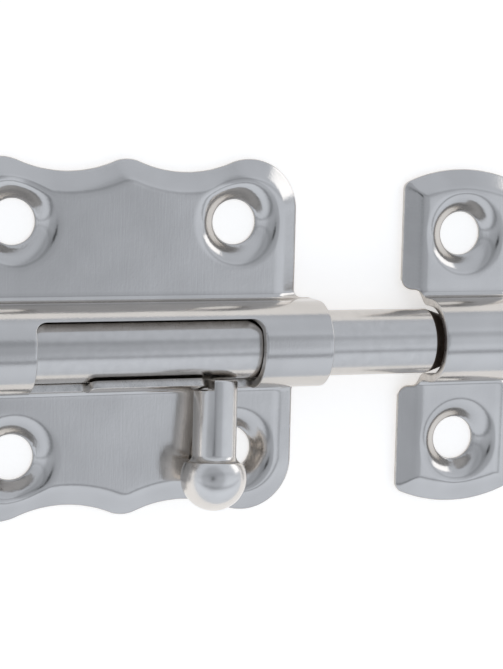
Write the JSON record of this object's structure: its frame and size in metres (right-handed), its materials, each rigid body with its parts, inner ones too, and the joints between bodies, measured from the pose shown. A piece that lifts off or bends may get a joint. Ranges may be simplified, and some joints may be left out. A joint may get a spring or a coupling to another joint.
{
  "type": "barrel bolt",
  "caption": "Small surface barrel bolt: pressed backplate with a tunnel, round sliding bolt with a turn-down ball knob, and a pressed keeper.",
  "frame": {"origin": "on the door's surface, under the middle of the bolt, backplate and keeper together", "axes": "+X the way the bolt is thrown, +Y across the bolt, away from the side the knob hangs on, +Z out from the door"},
  "size_m": [0.0738, 0.0422, 0.0101],
  "materials": {
    "plated_sheet": "bright plated sheet steel, satin, fine grain across the bolt",
    "plated_bar": "bright plated drawn bar, fine lines along it",
    "polished_knob": "turned and polished, bright plated"
  },
  "bodies": {
    "backplate": {"backplate": "plated_sheet"},
    "bolt": {"bolt": "plated_bar"},
    "knob": {"knob": "polished_knob"},
    "keeper": {"keeper": "plated_sheet"}
  },
  "joints": [
    {"name": "bolt_slide", "type": "slide", "parent": "backplate", "child": "bolt", "axis": [1, 0, 0], "range_m": [-0.0208, 0.0015]},
    {"name": "knob_turn", "type": "hinge", "parent": "bolt", "child": "knob", "pos_m": [0, -0.00045, 0.00415], "axis": [-1, 0, 0], "range_deg": [-0.5, 85]},
    {"name": "keeper_away", "type": "slide", "parent": "backplate", "child": "keeper", "axis": [1, 0, 0], "range_m": [0, 0.02]}
  ]
}
